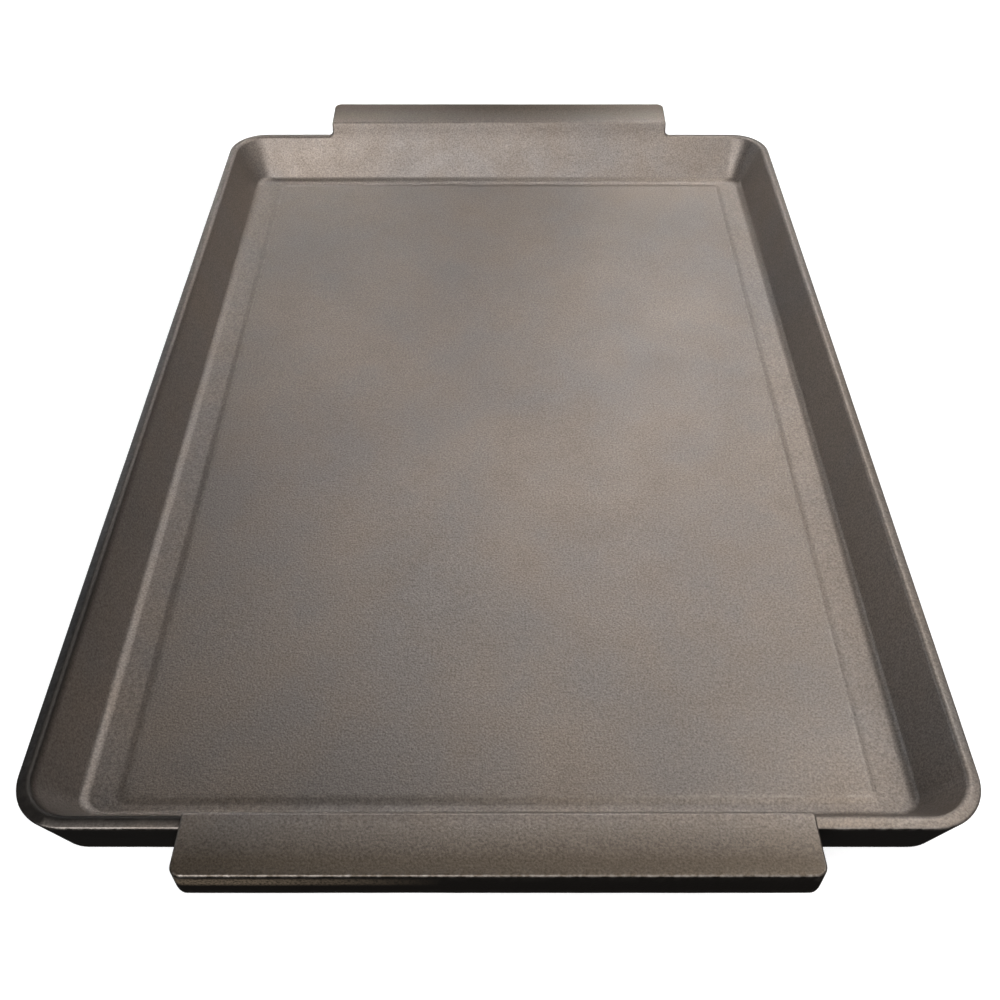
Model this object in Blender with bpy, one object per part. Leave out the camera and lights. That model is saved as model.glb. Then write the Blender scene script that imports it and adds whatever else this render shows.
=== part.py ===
"""Cast flat top griddle plate: a shallow tray with leaning walls, a cooking panel set off by a shallow
channel that falls towards it, and a wide turned-over handle that grows out of the wall at each end.

The whole griddle is one casting, so it is one object. Units are metres, +Z is up, +Y runs along the
length, and the origin is at the centre of the footprint, on the surface the griddle stands on.
"""

import math

import bmesh
import bpy

# Tray. Insets are measured inwards from the outside of the rim.
RIM_WIDTH = 0.3720
RIM_LENGTH = 0.5230
RIM_HEIGHT = 0.0304  # at the rim's ridge, its highest line
RIM_THICKNESS = 0.0054
RIDGE_SHARE = 0.30  # how far across the rim its ridge lies, from the inner edge
RIM_FALL_IN = 0.0002  # from the ridge down to the inner edge
RIM_FALL_OUT = 0.0009  # from the ridge down to the outer edge
CORNER_RADIUS = 0.0226
CORNER_TIGHTENING = 0.75  # how much a corner's radius falls with its inset
SMALLEST_RADIUS = 0.0045
CHANNEL_HEIGHT = 0.0043  # top of the channel floor, which is also the floor's thickness
WALL_FOOT_SIDE = 0.0172  # inset of a side wall's inner face at the channel
WALL_FOOT_END = 0.0185
OUTER_FOOT = 0.0073  # inset of the walls' outer face at the base

# Cooking panel
PANEL_RISE = 0.0003  # the panel's top above the channel at the walls' foot
CHANNEL_FALL = 0.0004  # from the walls' foot down to the foot of the panel's sloping edge
PANEL_SIDE = 0.0343  # inset of the panel's top
PANEL_END = 0.0271
PANEL_STEP = 0.0030  # the panel's sloping edge spreads by this much down to the channel

# Handles
HANDLE_WIDTH = 0.2324
HANDLE_REACH = 0.0228  # past the outside of the rim
HANDLE_BEND = 0.0023  # inset of the line where the rising wall turns into the flange
RISER_HEIGHT = 0.0089  # inner edge of the flange above the rim
FLANGE_SLOPE_RISE = 0.0014  # outer edge of the flange above its inner edge
FLANGE_THICKNESS = 0.0050
LIP_DEPTH = 0.0145
LIP_THICKNESS = 0.0050
LIP_DRAFT = 0.0008  # the lip is this much thinner at its bottom edge

# Rounding of edges, as the width of a bevel
EDGE_ROUNDING = 0.0011
FOOT_ROUNDING = 0.0032  # where the walls meet the channel
PANEL_ROUNDING = 0.0012
FLARE_ROUNDING = 0.0034  # where a handle's side meets the rim
LIP_CORNER_ROUNDING = 0.0045  # lower corners of a lip, seen from the end
HANDLE_CORNER_ROUNDING = 0.0045  # outer corners of a handle, seen from above
WIDEST_ROUNDING = 0.0045
SHARPEST_FOLD = math.radians(32)  # edges that fold more than this are rounded

CORNER_SEGMENTS = 8
WIDE_SEGMENTS = 4
EDGE_SEGMENTS = 2

# Lines that run round the tray, from the inside out, and the levels they run at, from the base up.
PANEL, INNER, RIDGE, OUTER, LIP_INNER, LIP_OUTER = range(6)
BASE, CHANNEL, LIP_BOTTOM, RIM, UNDERSIDE, TOP = range(6)

LEVEL_HEIGHTS = {
    BASE: 0.0,
    CHANNEL: CHANNEL_HEIGHT,
    LIP_BOTTOM: RIM_HEIGHT + RISER_HEIGHT + FLANGE_SLOPE_RISE - LIP_DEPTH,
    RIM: RIM_HEIGHT,
    UNDERSIDE: RIM_HEIGHT + RISER_HEIGHT - FLANGE_THICKNESS,
    TOP: RIM_HEIGHT + RISER_HEIGHT,
}
HANDLE_REACHES = {
    LIP_INNER: HANDLE_REACH - LIP_THICKNESS,
    LIP_OUTER: HANDLE_REACH,
}


def between(first, last, share):
    return first + (last - first) * share


def inner_inset(height, foot):
    """Inset of the inner face, which leans from its foot to the rim and from the rim to the bend."""
    if height <= CHANNEL_HEIGHT:
        return foot
    if height <= RIM_HEIGHT:
        share = (height - CHANNEL_HEIGHT) / (RIM_HEIGHT - CHANNEL_HEIGHT)
        return between(foot, RIM_THICKNESS, share)
    return between(RIM_THICKNESS, HANDLE_BEND, (height - RIM_HEIGHT) / RISER_HEIGHT)


def outer_inset(height):
    """Inset of the outer face, which leans in one plane all the way up."""
    return OUTER_FOOT * (1 - height / RIM_HEIGHT)


def wall_point(line, level):
    """Side inset, end inset and height of a line on the wall."""
    height = LEVEL_HEIGHTS[level]
    if level == RIM:
        height -= {INNER: RIM_FALL_IN, RIDGE: 0.0, OUTER: RIM_FALL_OUT}[line]
    outer = outer_inset(height)
    share = {INNER: 0.0, RIDGE: RIDGE_SHARE, OUTER: 1.0}[line]
    side = between(inner_inset(height, WALL_FOOT_SIDE), outer, share)
    end = between(inner_inset(height, WALL_FOOT_END), outer, share)
    return side, end, height


def handle_point(line, level):
    """Side inset, end inset and height of a line on a handle, beyond the wall."""
    height = LEVEL_HEIGHTS[level]
    reach = HANDLE_REACHES[line]
    if level in (UNDERSIDE, TOP):
        height += FLANGE_SLOPE_RISE * reach / HANDLE_REACH
    if (line, level) == (LIP_INNER, LIP_BOTTOM):
        reach += LIP_DRAFT
    return -reach, -reach, height


def section_point(line, level):
    if (line, level) == (PANEL, TOP):
        return PANEL_SIDE, PANEL_END, CHANNEL_HEIGHT + PANEL_RISE
    if line == PANEL:
        fall = CHANNEL_FALL if level == CHANNEL else 0.0
        return PANEL_SIDE - PANEL_STEP, PANEL_END - PANEL_STEP, LEVEL_HEIGHTS[level] - fall
    if line <= OUTER:
        return wall_point(line, level)
    return handle_point(line, level)


def stations():
    """Places round the tray, anticlockwise: points of its corners, and the sides of its handles."""
    found = []
    for quarter, (x_sign, y_sign) in enumerate(((1, 1), (-1, 1), (-1, -1), (1, -1))):
        for step in range(CORNER_SEGMENTS + 1):
            turn = (quarter + step / CORNER_SEGMENTS) * math.pi / 2
            found.append(("corner", x_sign, y_sign, turn))
        if quarter in (0, 2):
            found.append(("handle", x_sign, y_sign, 0.0))
            found.append(("handle", -x_sign, y_sign, 0.0))
    return found


def place(station, side, end, height):
    """Where a point with these insets and this height lies at a station."""
    kind, x_sign, y_sign, turn = station
    if kind == "handle":
        return x_sign * HANDLE_WIDTH / 2, y_sign * (RIM_LENGTH / 2 - end), height
    radius = max(CORNER_RADIUS - CORNER_TIGHTENING * (side + end) / 2, SMALLEST_RADIUS)
    x = x_sign * (RIM_WIDTH / 2 - side - radius) + radius * math.cos(turn)
    y = y_sign * (RIM_LENGTH / 2 - end - radius) + radius * math.sin(turn)
    return x, y, height


def metal_blocks(places):
    """Blocks of metal between two stations, two lines and two levels, named by the lower of each."""
    blocks = set()
    for index, station in enumerate(places):
        ahead = places[(index + 1) % len(places)]
        blocks.add((index, PANEL, BASE))
        for level in (BASE, CHANNEL, LIP_BOTTOM):
            blocks.update({(index, INNER, level), (index, RIDGE, level)})
        if station[0] == ahead[0] == "handle":
            for level in (RIM, UNDERSIDE):
                blocks.update({(index, INNER, level), (index, RIDGE, level)})
            blocks.add((index, OUTER, UNDERSIDE))
            for level in (LIP_BOTTOM, RIM, UNDERSIDE):
                blocks.add((index, LIP_INNER, level))
    return blocks


def block_sides(block, count):
    """Each side of a block, as the block that lies beyond it and the side's four corners."""
    here, line, level = block
    ahead = (here + 1) % count
    behind = (here - 1) % count
    corner = {
        (s, i, j): ((here, ahead)[s], line + i, level + j)
        for s in (0, 1)
        for i in (0, 1)
        for j in (0, 1)
    }
    below = ((0, 0, 0), (1, 0, 0), (1, 1, 0), (0, 1, 0))
    above = ((0, 0, 1), (0, 1, 1), (1, 1, 1), (1, 0, 1))
    inwards = ((0, 0, 0), (0, 0, 1), (1, 0, 1), (1, 0, 0))
    outwards = ((0, 1, 0), (1, 1, 0), (1, 1, 1), (0, 1, 1))
    backwards = ((0, 0, 0), (0, 1, 0), (0, 1, 1), (0, 0, 1))
    forwards = ((1, 0, 0), (1, 0, 1), (1, 1, 1), (1, 1, 0))
    for beyond, keys in (
        ((here, line, level - 1), below),
        ((here, line, level + 1), above),
        ((here, line - 1, level), inwards),
        ((here, line + 1, level), outwards),
        ((behind, line, level), backwards),
        ((ahead, line, level), forwards),
    ):
        yield beyond, [corner[key] for key in keys]


def mark_own_roundings(shape, places, points):
    """Weight the edges that have a rounding of their own. The first bevel reads the weights."""
    weights = shape.edges.layers.float.new("bevel_weight_edge")

    def mark(first, last, rounding):
        edge = shape.edges.get((points[first], points[last]))
        edge[weights] = rounding / WIDEST_ROUNDING

    for index, station in enumerate(places):
        ahead = (index + 1) % len(places)
        mark((index, INNER, CHANNEL), (ahead, INNER, CHANNEL), FOOT_ROUNDING)
        mark((index, PANEL, CHANNEL), (ahead, PANEL, CHANNEL), PANEL_ROUNDING)
        mark((index, PANEL, TOP), (ahead, PANEL, TOP), PANEL_ROUNDING)
        if station[0] == "handle":
            mark((index, INNER, RIM), (index, RIDGE, RIM), FLARE_ROUNDING)
            mark((index, RIDGE, RIM), (index, OUTER, RIM), FLARE_ROUNDING)
            mark((index, LIP_INNER, LIP_BOTTOM), (index, LIP_OUTER, LIP_BOTTOM), LIP_CORNER_ROUNDING)
            for level in (LIP_BOTTOM, RIM, UNDERSIDE):
                mark((index, LIP_OUTER, level), (index, LIP_OUTER, level + 1), HANDLE_CORNER_ROUNDING)


def plate_shape():
    """The plate with sharp edges: the outsides of its blocks, its base and its cooking panel."""
    places = stations()
    count = len(places)
    blocks = metal_blocks(places)
    shape = bmesh.new()
    points = {}

    def point(key):
        if key not in points:
            index, line, level = key
            points[key] = shape.verts.new(place(places[index], *section_point(line, level)))
        return points[key]

    for block in sorted(blocks):
        for beyond, corners in block_sides(block, count):
            middle_of_floor = beyond[1] < PANEL
            if beyond not in blocks and not middle_of_floor:
                shape.faces.new([point(key) for key in corners])

    base = [point((index, PANEL, BASE)) for index in range(count)]
    foot = [point((index, PANEL, CHANNEL)) for index in range(count)]
    panel = [point((index, PANEL, TOP)) for index in range(count)]
    for index in range(count):
        ahead = (index + 1) % count
        shape.faces.new([foot[index], foot[ahead], panel[ahead], panel[index]])
    shape.faces.new(base)
    shape.faces.new(panel)
    mark_own_roundings(shape, places, points)
    bmesh.ops.recalc_face_normals(shape, faces=shape.faces)
    return shape


def seasoned_iron():
    material = bpy.data.materials.new("seasoned_iron")
    material.use_nodes = True
    surface = material.node_tree.nodes["Principled BSDF"]
    surface.inputs["Base Color"].default_value = (0.200, 0.180, 0.165, 1.0)
    surface.inputs["Roughness"].default_value = 0.42
    surface.inputs["Metallic"].default_value = 0.7
    return material


def add_rounding(plate, name, width, segments, limit):
    rounding = plate.modifiers.new(name, "BEVEL")
    rounding.width = width
    rounding.segments = segments
    rounding.limit_method = limit
    rounding.angle_limit = SHARPEST_FOLD
    rounding.use_clamp_overlap = False


def main():
    for leftover in list(bpy.data.objects):
        bpy.data.objects.remove(leftover)

    mesh = bpy.data.meshes.new("griddle_plate")
    shape = plate_shape()
    shape.to_mesh(mesh)
    shape.free()
    mesh.materials.append(seasoned_iron())
    mesh.shade_smooth()
    mesh.set_sharp_from_angle(angle=SHARPEST_FOLD)

    plate = bpy.data.objects.new("griddle_plate", mesh)
    bpy.context.scene.collection.objects.link(plate)
    add_rounding(plate, "wide_rounding", WIDEST_ROUNDING, WIDE_SEGMENTS, "WEIGHT")
    add_rounding(plate, "edge_rounding", EDGE_ROUNDING, EDGE_SEGMENTS, "ANGLE")


main()
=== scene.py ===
"""Looks of the cast flat top griddle: one seasoned iron casting, rebuilt finely round the CAD model.

Units are metres in the frame's own axes: +Z up, +Y along the length, from the near handle to the far one.
The casting keeps the CAD model's plan and section, with finer roundings and the slight unevenness of
sand-cast iron, and the iron takes its colour, grain and wear from nodes, with painted shade, painted
highlights and a painted reflection in that colour.
"""

import math

import bmesh
import bpy
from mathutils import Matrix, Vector, noise


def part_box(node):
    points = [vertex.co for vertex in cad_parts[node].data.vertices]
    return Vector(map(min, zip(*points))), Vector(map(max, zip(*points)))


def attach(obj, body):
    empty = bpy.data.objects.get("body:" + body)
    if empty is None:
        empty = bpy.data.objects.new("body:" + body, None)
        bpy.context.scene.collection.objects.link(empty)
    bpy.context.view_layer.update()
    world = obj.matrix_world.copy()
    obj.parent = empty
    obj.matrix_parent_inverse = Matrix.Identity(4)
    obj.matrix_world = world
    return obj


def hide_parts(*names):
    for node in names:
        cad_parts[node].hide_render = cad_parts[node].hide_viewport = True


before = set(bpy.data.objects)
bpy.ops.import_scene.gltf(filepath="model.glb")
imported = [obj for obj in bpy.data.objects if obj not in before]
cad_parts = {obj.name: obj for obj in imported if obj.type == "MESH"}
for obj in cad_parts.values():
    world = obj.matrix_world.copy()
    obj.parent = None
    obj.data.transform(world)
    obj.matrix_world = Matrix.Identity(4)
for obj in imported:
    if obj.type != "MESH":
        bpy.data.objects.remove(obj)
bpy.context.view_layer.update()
low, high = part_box("griddle_plate")

# Tray. Insets are measured inwards from the outside of the rim.
ROUNDED_OFF = 0.00047  # what the rounding of the rim's outer edge takes off the width on each side
HANDLE_REACH = 0.0228  # past the outside of the rim
RIM_WIDTH = high.x - low.x + 2 * ROUNDED_OFF
RIM_LENGTH = high.y - low.y - 2 * HANDLE_REACH
HANDLE_TO_RIM = 0.01023  # how far the rim's ridge lies below the top of the handles
RIM_HEIGHT = high.z - HANDLE_TO_RIM
RIM_THICKNESS = 0.0054
RIDGE_SHARE = 0.30  # how far across the rim its ridge lies, from the inner edge
RIM_FALL_IN = 0.0002
RIM_FALL_OUT = 0.0009
CORNER_RADIUS = 0.0226
CORNER_TIGHTENING = 0.75  # how much a corner's radius falls with its inset
SMALLEST_RADIUS = 0.0045
CHANNEL_HEIGHT = 0.0043
WALL_FOOT_SIDE = 0.0172  # inset of a side wall's inner face at the channel
WALL_FOOT_END = 0.0185
OUTER_FOOT = 0.0073  # inset of the walls' outer face at the base

# Cooking panel
PANEL_RISE = 0.0003  # the panel's top above the channel at the walls' foot
CHANNEL_FALL = 0.0004  # from the walls' foot down to the foot of the panel's sloping edge
PANEL_SIDE = 0.0343
PANEL_END = 0.0271
PANEL_STEP = 0.0030

# Handles
HANDLE_WIDTH = 0.2324
HANDLE_BEND = 0.0023  # inset of the line where the rising wall turns into the flange
RISER_HEIGHT = 0.0089
FLANGE_SLOPE_RISE = 0.0014
FLANGE_THICKNESS = 0.0050
LIP_DEPTH = 0.0145
LIP_THICKNESS = 0.0050
LIP_DRAFT = 0.0008

# Rounding of edges, as the width of a bevel
EDGE_ROUNDING = 0.0011
FOOT_ROUNDING = 0.0032
PANEL_ROUNDING = 0.0012
FLARE_ROUNDING = 0.0034
LIP_CORNER_ROUNDING = 0.0045
HANDLE_CORNER_ROUNDING = 0.0045
WIDEST_ROUNDING = 0.0045
SHARPEST_FOLD = math.radians(32)

CORNER_SEGMENTS = 16
WIDE_SEGMENTS = 8
EDGE_SEGMENTS = 4
SLICE = 0.0065  # spacing of the cuts that let wide faces take the casting's unevenness
CLEAR_OF_HANDLE_SIDE = 0.0075  # cuts stay this far from a handle's sides

# Seasoned iron, with painted shade, painted highlights and a painted reflection in its colour
WARM_IRON = (0.246, 0.205, 0.174)
COOL_IRON = (0.202, 0.179, 0.164)
# dark patches of seasoning, and painted shade in the hollows and along the panel's crease
DARK_SEASONING_AND_SHADE = (0.110, 0.094, 0.082)
# painted shade on the handles, deepening from the bend towards the lip
HANDLE_SHADE = (0.100, 0.078, 0.057)
# painted shade, near black, on faces that look outwards or down and on the near-left rim
OUTER_SHADE_COLOUR = (0.024, 0.021, 0.019)
# a warm painted reflection on the left of the lips' outer faces
LIP_REFLECTION_COLOUR = (0.62, 0.48, 0.34)
# wear and painted highlights on the edges
BARE_AND_LIT_EDGE = (0.34, 0.305, 0.275)
METALLIC_SHARE = 0.7  # iron under a thin oxide and oil skin: part metal, part dull
PANEL_ROUGHNESS = 0.41
HANDLE_ROUGHNESS = 0.34
GRAIN_SIZE = 0.0009
GRAIN_DEPTH = 0.00010
COARSE_GRAIN_SIZE = 0.0026
COARSE_GRAIN_DEPTH = 0.00006
MOTTLE_SIZE = 0.030
STAIN_SIZE = 0.110
GRINDING_SPACING = 0.0013
GRINDING_DEPTH = 0.00012
STROKE_STRETCH = (1.0, 1.0, 0.25)  # the grinder's strokes are four times as tall as wide
REFLECTION_BAND_FOOT = 0.0330  # heights between which a warm painted reflection lies on the face of a lip
REFLECTION_BAND_TOP = 0.0392
REFLECTION_BAND_FADE = 0.0018
REFLECTION_BAND_END = -0.02  # the band starts here and gets stronger to the left, over the length below
REFLECTION_BAND_ONSET = 0.07

# Where each effect sets in and is full: two readings of its noise or attribute. Two more numbers are
# what it is worth at each of them, where that isn't 0 and 1.
WARM_DRIFT = (0.80, 1.20)
DARK_PATCHES = (0.42, 0.72, 0.0, 0.22)
# how the handles' painted shade ramps up from the bend towards the lip
HANDLE_SHADE_RAMP = (0.04, 0.75, 0.0, 0.95)
HANDLE_SMOOTHING = (0.02, 0.10)
GRAIN_TONE = (0.30, 0.70, 0.68, 1.34)
# breaks up the edges' wear and painted highlight
BROKEN_WEAR_AND_HIGHLIGHT = (0.42, 0.68, 0.0, 0.8)
ROUGHNESS_DRIFT = (0.3, 0.7, -0.04, 0.04)
LIP_FACING = (0.7, 0.95)
LIP_PLACE = (0.90, 0.97)
# specks of the lips' painted reflection
REFLECTION_SPECKS = (0.36, 0.56, 0.15, 0.85)
# strength of the painted shade on the outward faces and the near-left rim
OUTER_SHADE_SHARE = 0.95
# strength of the painted shade in the hollows
HOLLOW_SHADE_SHARE = 0.35
HANDLE_SKIN = 0.55  # strength of the sandy skin on the handles

# Lines that run round the tray, from the inside out, and the levels they run at, from the base up.
PANEL, INNER, RIDGE, OUTER, LIP_INNER, LIP_OUTER = range(6)
BASE, CHANNEL, LIP_BOTTOM, RIM, UNDERSIDE, TOP = range(6)

LEVEL_HEIGHTS = {
    BASE: 0.0,
    CHANNEL: CHANNEL_HEIGHT,
    LIP_BOTTOM: RIM_HEIGHT + RISER_HEIGHT + FLANGE_SLOPE_RISE - LIP_DEPTH,
    RIM: RIM_HEIGHT,
    UNDERSIDE: RIM_HEIGHT + RISER_HEIGHT - FLANGE_THICKNESS,
    TOP: RIM_HEIGHT + RISER_HEIGHT,
}
HANDLE_REACHES = {
    LIP_INNER: HANDLE_REACH - LIP_THICKNESS,
    LIP_OUTER: HANDLE_REACH,
}

# Casting unevenness
SWELL = 0.00010  # how far the surface wanders over the plate
SWELL_LENGTH = 0.060
RIPPLE = 0.00004
RIPPLE_LENGTH = 0.014
RIPPLE_SHIFT = Vector((7.3, 1.9, 4.1))  # takes the ripple from another part of the noise
SMALLEST_STEP = 1e-9

# Wear, painted highlights and painted shade
LEAST_BULGE = 0.04  # the mean rise of a point over its neighbours, as a share of their distance
FULL_BULGE = 0.13
LEAST_FACING_OUT = 0.60
FULLY_FACING_OUT = 0.85
# wear and a painted highlight along the panel's edge
PANEL_EDGE_WEAR_AND_HIGHLIGHT = 0.9
# painted shade along the panel's crease
CREASE_SHADE = 0.5
MARK_WIDTH = 0.0009  # a mark along the panel's edge or crease fades out this far from its middle
RIM_SHADE_FADE = 0.0050  # how far down the inside of the wall the rim's painted shade thins out
RIM_SHADE_OVER_WEAR = 0.8  # how much of the edges' wear and painted highlight the rim's painted shade hides
RIM_SHADE_CLEAR_SIDE = 0.20  # from the middle of the plate towards the left, as a share of the rim's width
RIM_SHADE_FULL_SIDE = 0.30
RIM_SHADE_CLEAR_END = -0.35  # from the middle towards the near end, as a share of the rim's length
RIM_SHADE_FULL_END = 0.30


# ---------------------------------------------------------------- the casting's shape


def between(first, last, share):
    return first + (last - first) * share


def inner_inset(height, foot):
    """Inset of the inner face, which leans from its foot to the rim and from the rim to the bend."""
    if height <= CHANNEL_HEIGHT:
        return foot
    if height <= RIM_HEIGHT:
        share = (height - CHANNEL_HEIGHT) / (RIM_HEIGHT - CHANNEL_HEIGHT)
        return between(foot, RIM_THICKNESS, share)
    return between(RIM_THICKNESS, HANDLE_BEND, (height - RIM_HEIGHT) / RISER_HEIGHT)


def outer_inset(height):
    """Inset of the outer face, which leans in one plane all the way up."""
    return OUTER_FOOT * (1 - height / RIM_HEIGHT)


def wall_point(line, level):
    """Side inset, end inset and height of a line on the wall."""
    height = LEVEL_HEIGHTS[level]
    if level == RIM:
        height -= {INNER: RIM_FALL_IN, RIDGE: 0.0, OUTER: RIM_FALL_OUT}[line]
    outer = outer_inset(height)
    share = {INNER: 0.0, RIDGE: RIDGE_SHARE, OUTER: 1.0}[line]
    side = between(inner_inset(height, WALL_FOOT_SIDE), outer, share)
    end = between(inner_inset(height, WALL_FOOT_END), outer, share)
    return side, end, height


def handle_point(line, level):
    """Side inset, end inset and height of a line on a handle, beyond the wall."""
    height = LEVEL_HEIGHTS[level]
    reach = HANDLE_REACHES[line]
    if level in (UNDERSIDE, TOP):
        height += FLANGE_SLOPE_RISE * reach / HANDLE_REACH
    if (line, level) == (LIP_INNER, LIP_BOTTOM):
        reach += LIP_DRAFT
    return -reach, -reach, height


def section_point(line, level):
    if (line, level) == (PANEL, TOP):
        return PANEL_SIDE, PANEL_END, CHANNEL_HEIGHT + PANEL_RISE
    if line == PANEL:
        fall = CHANNEL_FALL if level == CHANNEL else 0.0
        return PANEL_SIDE - PANEL_STEP, PANEL_END - PANEL_STEP, LEVEL_HEIGHTS[level] - fall
    if line <= OUTER:
        return wall_point(line, level)
    return handle_point(line, level)


def stations():
    """Places round the tray, anticlockwise: points of its corners, and the sides of its handles."""
    found = []
    for quarter, (x_sign, y_sign) in enumerate(((1, 1), (-1, 1), (-1, -1), (1, -1))):
        for step in range(CORNER_SEGMENTS + 1):
            turn = (quarter + step / CORNER_SEGMENTS) * math.pi / 2
            found.append(("corner", x_sign, y_sign, turn))
        if quarter in (0, 2):
            found.append(("handle", x_sign, y_sign, 0.0))
            found.append(("handle", -x_sign, y_sign, 0.0))
    return found


def place(station, side, end, height):
    """Where a point with these insets and this height lies at a station."""
    kind, x_sign, y_sign, turn = station
    if kind == "handle":
        return x_sign * HANDLE_WIDTH / 2, y_sign * (RIM_LENGTH / 2 - end), height
    radius = max(CORNER_RADIUS - CORNER_TIGHTENING * (side + end) / 2, SMALLEST_RADIUS)
    x = x_sign * (RIM_WIDTH / 2 - side - radius) + radius * math.cos(turn)
    y = y_sign * (RIM_LENGTH / 2 - end - radius) + radius * math.sin(turn)
    return x, y, height


def metal_blocks(places):
    """Blocks of metal between two stations, two lines and two levels, named by the lower of each."""
    blocks = set()
    for index, station in enumerate(places):
        ahead = places[(index + 1) % len(places)]
        blocks.add((index, PANEL, BASE))
        for level in (BASE, CHANNEL, LIP_BOTTOM):
            blocks.update({(index, INNER, level), (index, RIDGE, level)})
        if station[0] == ahead[0] == "handle":
            for level in (RIM, UNDERSIDE):
                blocks.update({(index, INNER, level), (index, RIDGE, level)})
            blocks.add((index, OUTER, UNDERSIDE))
            for level in (LIP_BOTTOM, RIM, UNDERSIDE):
                blocks.add((index, LIP_INNER, level))
    return blocks


def block_sides(block, count):
    """Each side of a block, as the block that lies beyond it and the side's four corners."""
    here, line, level = block
    ahead = (here + 1) % count
    behind = (here - 1) % count
    corner = {
        (s, i, j): ((here, ahead)[s], line + i, level + j)
        for s in (0, 1)
        for i in (0, 1)
        for j in (0, 1)
    }
    below = ((0, 0, 0), (1, 0, 0), (1, 1, 0), (0, 1, 0))
    above = ((0, 0, 1), (0, 1, 1), (1, 1, 1), (1, 0, 1))
    inwards = ((0, 0, 0), (0, 0, 1), (1, 0, 1), (1, 0, 0))
    outwards = ((0, 1, 0), (1, 1, 0), (1, 1, 1), (0, 1, 1))
    backwards = ((0, 0, 0), (0, 1, 0), (0, 1, 1), (0, 0, 1))
    forwards = ((1, 0, 0), (1, 0, 1), (1, 1, 1), (1, 1, 0))
    for beyond, keys in (
        ((here, line, level - 1), below),
        ((here, line, level + 1), above),
        ((here, line - 1, level), inwards),
        ((here, line + 1, level), outwards),
        ((behind, line, level), backwards),
        ((ahead, line, level), forwards),
    ):
        yield beyond, [corner[key] for key in keys]


def mark_own_roundings(shape, places, points):
    """Weight the edges that have a rounding of their own. The first bevel reads the weights."""
    weights = shape.edges.layers.float.new("bevel_weight_edge")

    def mark(first, last, rounding):
        edge = shape.edges.get((points[first], points[last]))
        edge[weights] = rounding / WIDEST_ROUNDING

    for index, station in enumerate(places):
        ahead = (index + 1) % len(places)
        mark((index, INNER, CHANNEL), (ahead, INNER, CHANNEL), FOOT_ROUNDING)
        mark((index, PANEL, CHANNEL), (ahead, PANEL, CHANNEL), PANEL_ROUNDING)
        mark((index, PANEL, TOP), (ahead, PANEL, TOP), PANEL_ROUNDING)
        if station[0] == "handle":
            mark((index, INNER, RIM), (index, RIDGE, RIM), FLARE_ROUNDING)
            mark((index, RIDGE, RIM), (index, OUTER, RIM), FLARE_ROUNDING)
            mark((index, LIP_INNER, LIP_BOTTOM), (index, LIP_OUTER, LIP_BOTTOM), LIP_CORNER_ROUNDING)
            for level in (LIP_BOTTOM, RIM, UNDERSIDE):
                mark((index, LIP_OUTER, level), (index, LIP_OUTER, level + 1), HANDLE_CORNER_ROUNDING)


def slice_straights(shape):
    """Cut the straight stretches across, so that wide faces have points to move."""
    across = RIM_WIDTH / 2 - PANEL_SIDE - SMALLEST_RADIUS
    along = RIM_LENGTH / 2 - PANEL_END - SMALLEST_RADIUS
    for axis, reach in ((Vector((1, 0, 0)), across), (Vector((0, 1, 0)), along)):
        count = int(2 * reach / SLICE)
        for step in range(1, count):
            offset = between(-reach, reach, step / count)
            near_handle_side = abs(abs(offset) - HANDLE_WIDTH / 2) < CLEAR_OF_HANDLE_SIDE
            if axis.x and near_handle_side:
                continue
            everything = shape.verts[:] + shape.edges[:] + shape.faces[:]
            bmesh.ops.bisect_plane(shape, geom=everything, plane_co=axis * offset, plane_no=axis)


def plate_shape():
    """The plate with sharp edges: the outsides of its blocks, its base and its cooking panel."""
    places = stations()
    count = len(places)
    blocks = metal_blocks(places)
    shape = bmesh.new()
    points = {}

    def point(key):
        if key not in points:
            index, line, level = key
            points[key] = shape.verts.new(place(places[index], *section_point(line, level)))
        return points[key]

    for block in sorted(blocks):
        for beyond, corners in block_sides(block, count):
            middle_of_floor = beyond[1] < PANEL
            if beyond not in blocks and not middle_of_floor:
                shape.faces.new([point(key) for key in corners])

    base = [point((index, PANEL, BASE)) for index in range(count)]
    foot = [point((index, PANEL, CHANNEL)) for index in range(count)]
    panel = [point((index, PANEL, TOP)) for index in range(count)]
    for index in range(count):
        ahead = (index + 1) % count
        shape.faces.new([foot[index], foot[ahead], panel[ahead], panel[index]])
    shape.faces.new(base)
    shape.faces.new(panel)
    mark_own_roundings(shape, places, points)
    bmesh.ops.recalc_face_normals(shape, faces=shape.faces)
    slice_straights(shape)
    return shape


def add_rounding(plate, name, width, segments, limit):
    rounding = plate.modifiers.new(name, "BEVEL")
    rounding.width = width
    rounding.segments = segments
    rounding.limit_method = limit
    rounding.angle_limit = SHARPEST_FOLD
    rounding.use_clamp_overlap = False


def rounded_mesh():
    """The plate's mesh with its roundings applied."""
    mesh = bpy.data.meshes.new("plate_cage")
    shape = plate_shape()
    shape.to_mesh(mesh)
    shape.free()
    cage = bpy.data.objects.new("plate_cage", mesh)
    bpy.context.scene.collection.objects.link(cage)
    add_rounding(cage, "wide_rounding", WIDEST_ROUNDING, WIDE_SEGMENTS, "WEIGHT")
    add_rounding(cage, "edge_rounding", EDGE_ROUNDING, EDGE_SEGMENTS, "ANGLE")
    bpy.context.view_layer.update()
    rounded = bpy.data.meshes.new_from_object(cage.evaluated_get(bpy.context.evaluated_depsgraph_get()))
    bpy.data.objects.remove(cage)
    bpy.data.meshes.remove(mesh)
    rounded.name = "griddle_casting"
    return rounded


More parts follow.
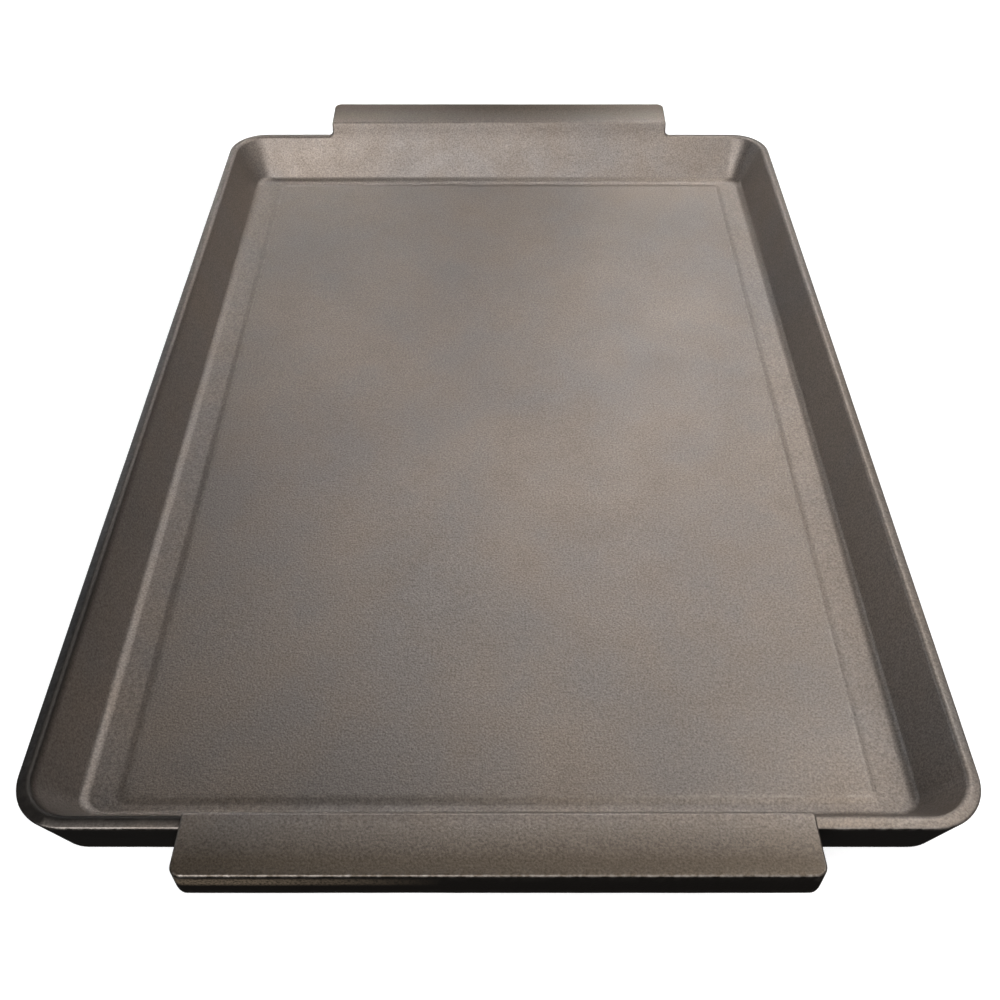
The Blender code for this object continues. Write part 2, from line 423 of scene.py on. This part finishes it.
def cast_unevenness(mesh):
    """Move the surface along its normals by the slow swell and the finer ripple of a sand mould. The
    base stays flat, where the griddle stands."""
    moved = []
    for vertex in mesh.vertices:
        swell = noise.noise(vertex.co / SWELL_LENGTH)
        ripple = noise.noise(vertex.co / RIPPLE_LENGTH + RIPPLE_SHIFT)
        height = 0.0 if vertex.co.z < SMALLEST_STEP else SWELL * swell + RIPPLE * ripple
        moved.extend(vertex.co + vertex.normal * height)
    mesh.vertices.foreach_set("co", moved)
    mesh.update()


def held_share(value, least, full):
    """How far the value has come from the least to the full, held between 0 and 1."""
    return min(max((value - least) / (full - least), 0.0), 1.0)


def beyond_panel(point):
    """How far outside the panel's edge the point lies, seen from above, and whether it is on the floor."""
    outside_side = abs(point.x) - RIM_WIDTH / 2 + PANEL_SIDE
    outside_end = abs(point.y) - RIM_LENGTH / 2 + PANEL_END
    on_floor = SMALLEST_STEP < point.z < CHANNEL_HEIGHT + 2 * PANEL_RISE + SWELL
    return max(outside_side, outside_end), on_floor


def rim_painted_shade(point):
    """How much painted shade the rim and the wall below it take: most at the near-left corner, none at the
    right.
    """
    on_rim = held_share(point.z, RIM_HEIGHT - RIM_SHADE_FADE, RIM_HEIGHT - RIM_FALL_OUT)
    to_left = held_share(-point.x / RIM_WIDTH, RIM_SHADE_CLEAR_SIDE, RIM_SHADE_FULL_SIDE)
    to_near = held_share(-point.y / RIM_LENGTH, RIM_SHADE_CLEAR_END, RIM_SHADE_FULL_END)
    return on_rim * to_left * to_near


def mark_wear_and_shade(mesh):
    """Store at each point how far the surface bulges, as worn_and_lit_edge, for wear and a painted
    highlight, or sinks, as hollow_shade, for painted shade, how far out it lies on a handle, and how much
    painted shade it takes, as outer_shade, on faces that look outwards or down and on the near-left rim.
    The panel's edge takes wear and a painted highlight, and its crease painted shade."""
    shape = bmesh.new()
    shape.from_mesh(mesh)
    wear_and_highlight = shape.verts.layers.float.new("worn_and_lit_edge")
    hollow_shade = shape.verts.layers.float.new("hollow_shade")
    handle = shape.verts.layers.float.new("handle")
    outer_shade = shape.verts.layers.float.new("outer_shade")
    for vertex in shape.verts:
        bulge = 0.0
        for edge in vertex.link_edges:
            step = edge.other_vert(vertex).co - vertex.co
            bulge -= step.dot(vertex.normal) / max(step.length, SMALLEST_STEP) / len(vertex.link_edges)
        # convex points take wear and a painted highlight, concave points painted shade
        vertex[wear_and_highlight] = held_share(bulge, LEAST_BULGE, FULL_BULGE)
        vertex[hollow_shade] = held_share(-bulge, LEAST_BULGE, FULL_BULGE)
        past_edge, on_floor = beyond_panel(vertex.co)
        if on_floor:
            # the panel's edge takes wear and a painted highlight, its crease painted shade
            vertex[wear_and_highlight] = PANEL_EDGE_WEAR_AND_HIGHLIGHT * held_share(abs(past_edge), MARK_WIDTH, 0.0)
            vertex[hollow_shade] = CREASE_SHADE * held_share(abs(past_edge - PANEL_STEP), MARK_WIDTH, 0.0)
        beyond_bend = abs(vertex.co.y) - RIM_LENGTH / 2 + HANDLE_BEND
        vertex[handle] = held_share(beyond_bend, 0.0, HANDLE_REACH + HANDLE_BEND)
        # painted shade on faces that look outwards or down
        sideways = vertex.normal.x * math.copysign(1.0, vertex.co.x)
        endways = vertex.normal.y * math.copysign(1.0, vertex.co.y)
        facing_out = max(sideways, endways, -vertex.normal.z)
        vertex[outer_shade] = held_share(facing_out, LEAST_FACING_OUT, FULLY_FACING_OUT)
        # painted shade on the near-left rim and the wall below it, hiding part of the edges' wear and
        # painted highlight
        if vertex[handle] == 0.0:
            rim_shade = rim_painted_shade(vertex.co)
            vertex[outer_shade] = max(vertex[outer_shade], rim_shade)
            vertex[wear_and_highlight] *= 1 - RIM_SHADE_OVER_WEAR * rim_shade
    shape.to_mesh(mesh)
    shape.free()


# ---------------------------------------------------------------- the iron


def add_node(tree, kind, inputs=None, **settings):
    """A node with these settings. An input is a value, or the output that feeds it."""
    node = tree.nodes.new(kind)
    for name, value in settings.items():
        setattr(node, name, value)
    for name, value in (inputs or {}).items():
        if isinstance(value, bpy.types.NodeSocket):
            tree.links.new(value, node.inputs[name])
        else:
            node.inputs[name].default_value = value
    return node


def noise_of_size(tree, where, size, detail=3.0, roughness=0.55):
    inputs = {"Vector": where, "Scale": 1 / size, "Detail": detail, "Roughness": roughness}
    return add_node(tree, "ShaderNodeTexNoise", inputs).outputs["Fac"]


def spread(tree, value, low_in, high_in, low_out=0.0, high_out=1.0):
    """The value taken from one range to another, held inside it."""
    inputs = {
        "Value": value,
        "From Min": low_in,
        "From Max": high_in,
        "To Min": low_out,
        "To Max": high_out,
    }
    return add_node(tree, "ShaderNodeMapRange", inputs).outputs["Result"]


def combine(tree, operation, first, second):
    inputs = {0: first, 1: second}
    return add_node(tree, "ShaderNodeMath", inputs, operation=operation).outputs["Value"]


def mixed(tree, share, first, second, blend="MIX"):
    """Two colours mixed. Sockets are numbered, because a Mix node names one for each type of data."""
    inputs = {0: share, 6: first, 7: second}
    return add_node(tree, "ShaderNodeMix", inputs, data_type="RGBA", blend_type=blend).outputs[2]


def stored(tree, name):
    return add_node(tree, "ShaderNodeAttribute", attribute_name=name).outputs["Fac"]


def opaque(colour):
    return (*colour, 1.0)


def iron_colour(tree, where, grain, handle, wear_and_highlight, lip_reflection):
    """Brown-grey seasoning that drifts between warm and cool, with painted shade on the handles, the
    outward faces, the near-left rim and the hollows, wear and painted highlights at the edges, and a warm
    painted reflection on the lips."""
    mottle = noise_of_size(tree, where, MOTTLE_SIZE, 5.0, 0.62)
    stain = noise_of_size(tree, where, STAIN_SIZE, 2.0)
    drift = spread(tree, combine(tree, "ADD", mottle, stain), *WARM_DRIFT)
    colour = mixed(tree, drift, opaque(COOL_IRON), opaque(WARM_IRON))
    patchy = spread(tree, mottle, *DARK_PATCHES)
    colour = mixed(tree, patchy, colour, opaque(DARK_SEASONING_AND_SHADE))
    # painted shade on the handles, deepening towards the lip
    handle_shade = spread(tree, handle, *HANDLE_SHADE_RAMP)
    colour = mixed(tree, handle_shade, colour, opaque(HANDLE_SHADE))
    speckle = spread(tree, grain, *GRAIN_TONE)
    colour = mixed(tree, 1.0, colour, speckle, "MULTIPLY")
    # painted shade on the outward faces and the near-left rim
    outer_shaded = combine(tree, "MULTIPLY", stored(tree, "outer_shade"), OUTER_SHADE_SHARE)
    colour = mixed(tree, outer_shaded, colour, opaque(OUTER_SHADE_COLOUR))
    # painted shade in the hollows and along the panel's crease
    in_hollow_shade = combine(tree, "MULTIPLY", stored(tree, "hollow_shade"), HOLLOW_SHADE_SHARE)
    colour = mixed(tree, in_hollow_shade, colour, opaque(DARK_SEASONING_AND_SHADE))
    # wear and painted highlights on the edges
    colour = mixed(tree, wear_and_highlight, colour, opaque(BARE_AND_LIT_EDGE))
    # a warm painted reflection on the lips' faces
    return mixed(tree, lip_reflection, colour, opaque(LIP_REFLECTION_COLOUR))


def lip_strokes_and_reflection(tree, where, grain, handle):
    """Where a lip's outer face is, the grinder's strokes on it, and how strong a warm painted reflection
    lies there, in specks, on the left of the face.
    """
    stretched = add_node(tree, "ShaderNodeMapping", {"Vector": where, "Scale": STROKE_STRETCH})
    strokes = noise_of_size(tree, stretched.outputs["Vector"], GRINDING_SPACING, 2.0)
    normal = add_node(tree, "ShaderNodeNewGeometry").outputs["Normal"]
    facing = add_node(tree, "ShaderNodeSeparateXYZ", {0: normal})
    endways = combine(tree, "ABSOLUTE", facing.outputs["Y"], 0.0)
    facing_out = spread(tree, endways, *LIP_FACING)
    on_face = combine(tree, "MULTIPLY", facing_out, spread(tree, handle, *LIP_PLACE))
    place = add_node(tree, "ShaderNodeSeparateXYZ", {0: where})
    height = place.outputs["Z"]
    above = spread(tree, height, REFLECTION_BAND_FOOT, REFLECTION_BAND_FOOT + REFLECTION_BAND_FADE)
    below = spread(tree, height, REFLECTION_BAND_TOP, REFLECTION_BAND_TOP - REFLECTION_BAND_FADE)
    to_left = spread(tree, place.outputs["X"], REFLECTION_BAND_END, REFLECTION_BAND_END - REFLECTION_BAND_ONSET)
    # specks of a warm painted reflection, in a band on the left of a lip's face
    lip_reflection = spread(tree, grain, *REFLECTION_SPECKS)
    for share in (above, below, to_left, on_face):
        lip_reflection = combine(tree, "MULTIPLY", lip_reflection, share)
    return on_face, strokes, lip_reflection


def iron_relief(tree, where, grain, coarse, smooth, on_face, strokes):
    """The sandy skin of the casting, gentler on the handles, with grinding marks on the lips' faces."""
    skin = spread(tree, smooth, 0.0, 1.0, 1.0, HANDLE_SKIN)
    sand = add_node(
        tree, "ShaderNodeBump", {"Strength": skin, "Distance": GRAIN_DEPTH, "Height": grain}
    ).outputs["Normal"]
    sandy = add_node(
        tree,
        "ShaderNodeBump",
        {"Strength": skin, "Distance": COARSE_GRAIN_DEPTH, "Height": coarse, "Normal": sand},
    ).outputs["Normal"]
    return add_node(
        tree,
        "ShaderNodeBump",
        {"Strength": on_face, "Distance": GRINDING_DEPTH, "Height": strokes, "Normal": sandy},
    ).outputs["Normal"]


def seasoned_iron():
    material = bpy.data.materials.new("seasoned_iron_finish")
    material.use_nodes = True
    tree = material.node_tree
    where = add_node(tree, "ShaderNodeTexCoord").outputs["Object"]
    grain = noise_of_size(tree, where, GRAIN_SIZE, 2.0, 0.6)
    coarse = noise_of_size(tree, where, COARSE_GRAIN_SIZE, 2.0)
    handle = stored(tree, "handle")
    # wear and painted highlights on the edges, broken up by noise
    broken = spread(tree, noise_of_size(tree, where, 3 * GRAIN_SIZE), *BROKEN_WEAR_AND_HIGHLIGHT)
    wear_and_highlight = combine(tree, "MULTIPLY", stored(tree, "worn_and_lit_edge"), broken)
    on_face, strokes, lip_reflection = lip_strokes_and_reflection(tree, where, grain, handle)
    surface = tree.nodes["Principled BSDF"]
    colour = iron_colour(tree, where, grain, handle, wear_and_highlight, lip_reflection)
    tree.links.new(colour, surface.inputs["Base Color"])
    surface.inputs["Metallic"].default_value = METALLIC_SHARE
    smooth = spread(tree, handle, *HANDLE_SMOOTHING)
    rough = spread(tree, smooth, 0.0, 1.0, PANEL_ROUGHNESS, HANDLE_ROUGHNESS)
    uneven = spread(tree, noise_of_size(tree, where, MOTTLE_SIZE / 2), *ROUGHNESS_DRIFT)
    tree.links.new(combine(tree, "ADD", rough, uneven), surface.inputs["Roughness"])
    relief = iron_relief(tree, where, grain, coarse, smooth, on_face, strokes)
    tree.links.new(relief, surface.inputs["Normal"])
    return material


def griddle_casting():
    mesh = rounded_mesh()
    cast_unevenness(mesh)
    mark_wear_and_shade(mesh)
    mesh.shade_smooth()
    mesh.materials.clear()
    mesh.materials.append(seasoned_iron())
    casting = bpy.data.objects.new("griddle_casting", mesh)
    bpy.context.scene.collection.objects.link(casting)
    normals = casting.modifiers.new("even_normals", "WEIGHTED_NORMAL")
    normals.keep_sharp = False
    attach(casting, "root")
    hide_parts("griddle_plate")


# ---------------------------------------------------------------- floor, light and camera


PLAIN_WHITE = (1.0, 1.0, 1.0)
FLOOR_COLOUR = (0.85, 0.85, 0.85)
FLOOR_ROUGHNESS = 0.9
FLOOR_GAP = 0.0002  # keeps the floor out of the plane of the griddle's base
FLOOR_GLOW = 0.45
BACKDROP_RADIUS = 6.0
BACKDROP_HEIGHT = 8.0
BACKDROP_SIDES = 96
WORLD_BRIGHTNESS = 0.01

CAMERA_TILT = math.radians(46.64)  # below the horizon
CAMERA_ABOVE_RIM = 0.3751
CAMERA_BEFORE_RIM = 0.1863
CAMERA_ASIDE = 0.0006
CAMERA_LENS = 38.88
NEAREST_SEEN = 0.01

# Azimuth and elevation in degrees, distance, side of the lamp, and power in watts
LIGHTS = {
    "back_soft_box": (0, 50, 1.8, 1.0, 5.3),
    "window": (26, 32, 0.9, 0.5, 1.35),
    "left_window": (337, 18, 0.9, 0.5, 0.7),
    "right_soft_box": (72, 50, 0.9, 0.5, 1.5),
    "right_front_soft_box": (108, 50, 0.9, 0.5, 0.6),
    "left_low_soft_box": (300, 12, 0.9, 0.5, 1.0),
    "overhead_soft_box": (100, 70, 1.8, 1.0, 6.2),
    "front_soft_box": (180, 32, 1.8, 1.8, 21.5),
    "front_left_soft_box": (206, 32, 1.8, 1.0, 7.5),
}
# Lamps behind the griddle. With shadows, its far and left walls would darken the tray's floor.
SHADOWLESS = ("back_soft_box", "window", "left_window")
LIGHT_COLOURS = {"overhead_soft_box": (1.0, 0.95, 0.87), "left_low_soft_box": (0.82, 0.91, 1.0)}


def pale_floor():
    """A floor with a round wall far behind it. It glows faintly, but neither lights nor shades the iron."""
    material = bpy.data.materials.new("pale_floor")
    material.use_nodes = True
    surface = material.node_tree.nodes["Principled BSDF"]
    surface.inputs["Base Color"].default_value = opaque(FLOOR_COLOUR)
    surface.inputs["Roughness"].default_value = FLOOR_ROUGHNESS
    surface.inputs["Emission Color"].default_value = opaque(PLAIN_WHITE)
    surface.inputs["Emission Strength"].default_value = FLOOR_GLOW
    mesh = bpy.data.meshes.new("floor")
    steps = range(BACKDROP_SIDES)
    turns = [2 * math.pi * step / BACKDROP_SIDES for step in steps]
    level = low.z - FLOOR_GAP
    edge = [(BACKDROP_RADIUS * math.cos(turn), BACKDROP_RADIUS * math.sin(turn), level) for turn in turns]
    top = [(x, y, z + BACKDROP_HEIGHT) for x, y, z in edge]
    faces = [tuple(steps)]
    for step in steps:
        ahead = (step + 1) % BACKDROP_SIDES
        faces.append((step, ahead, ahead + BACKDROP_SIDES, step + BACKDROP_SIDES))
    mesh.from_pydata(edge + top, [], faces)
    mesh.materials.append(material)
    floor = bpy.data.objects.new("floor", mesh)
    bpy.context.scene.collection.objects.link(floor)
    floor.visible_glossy = False
    floor.visible_diffuse = False
    floor.visible_shadow = False


def soft_light(name, azimuth, elevation, distance, size, power):
    """A soft box that faces the griddle. Azimuth 0 is beyond the far handle and 90 to the right."""
    lamp = bpy.data.lights.new(name, "AREA")
    lamp.shape = "SQUARE"
    lamp.size = size
    lamp.energy = power
    box = bpy.data.objects.new(name, lamp)
    bpy.context.scene.collection.objects.link(box)
    turn = math.radians(azimuth)
    rise = math.radians(elevation)
    away = Vector((math.sin(turn) * math.cos(rise), math.cos(turn) * math.cos(rise), math.sin(rise)))
    box.location = away * distance
    box.rotation_euler = away.to_track_quat("Z", "Y").to_euler()
    box.visible_camera = False
    lamp.color = LIGHT_COLOURS.get(name, PLAIN_WHITE)
    if name in SHADOWLESS:
        lamp.use_shadow = False
        lamp.cycles.use_multiple_importance_sampling = False


def surroundings(brightness):
    world = bpy.data.worlds.new("surroundings")
    world.use_nodes = True
    background = world.node_tree.nodes["Background"]
    background.inputs["Color"].default_value = opaque(PLAIN_WHITE)
    background.inputs["Strength"].default_value = brightness
    bpy.context.scene.world = world


def photo_camera():
    data = bpy.data.cameras.new("camera")
    data.lens = CAMERA_LENS
    data.clip_start = NEAREST_SEEN
    camera = bpy.data.objects.new("camera", data)
    bpy.context.scene.collection.objects.link(camera)
    camera.location = (CAMERA_ASIDE, -RIM_LENGTH / 2 - CAMERA_BEFORE_RIM, RIM_HEIGHT + CAMERA_ABOVE_RIM)
    camera.rotation_euler = (math.pi / 2 - CAMERA_TILT, 0.0, 0.0)
    bpy.context.scene.camera = camera


griddle_casting()
pale_floor()
surroundings(WORLD_BRIGHTNESS)
for name, (azimuth, elevation, distance, size, power) in LIGHTS.items():
    soft_light(name, azimuth, elevation, distance, size, power)
photo_camera()
bpy.context.scene.view_settings.view_transform = "Standard"
